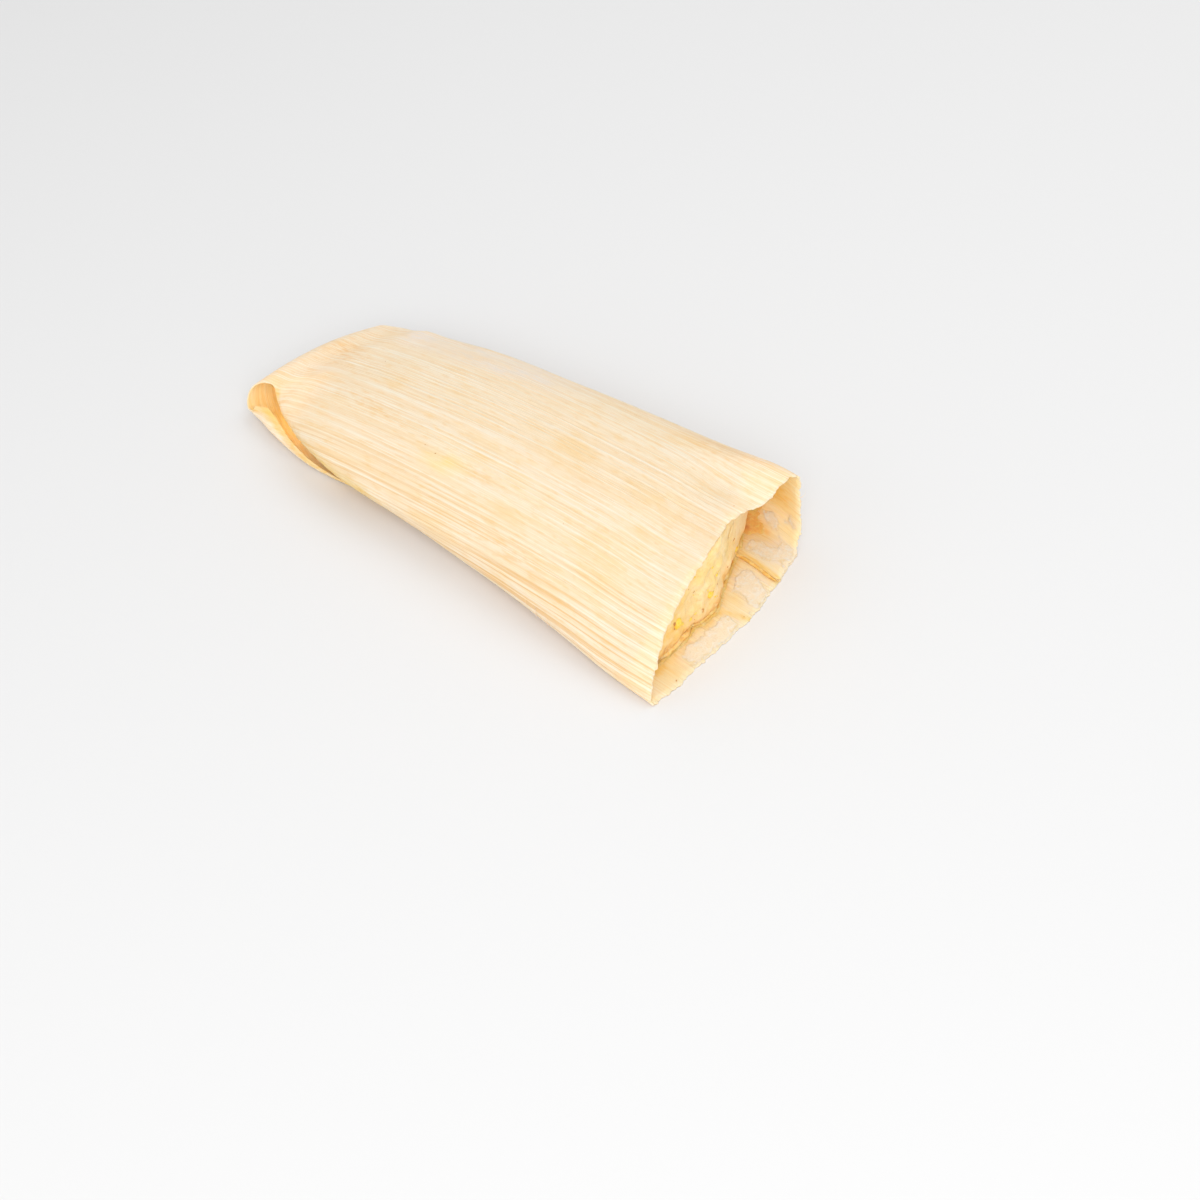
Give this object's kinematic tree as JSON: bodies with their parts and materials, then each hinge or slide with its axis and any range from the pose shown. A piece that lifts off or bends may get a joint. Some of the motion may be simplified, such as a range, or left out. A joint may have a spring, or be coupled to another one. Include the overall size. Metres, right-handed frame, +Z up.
{
  "type": "tamale",
  "caption": "Tamale: a flattened loaf of maize dough in a dried maize husk, open at one end, the husk's tip folded under the other end.",
  "frame": {"origin": "on the table, below the middle of the tamale's box", "axes": "+X along the tamale towards its open mouth, +Y across it, +Z up from the table"},
  "size_m": [0.1538, 0.069, 0.0231],
  "materials": {
    "corn_husk": "dried maize husk, thin, fibrous, satin, a little translucent",
    "masa": "steamed maize dough, moist and grainy"
  },
  "bodies": {
    "root": {"husk": "corn_husk", "masa": "masa"}
  },
  "joints": []
}
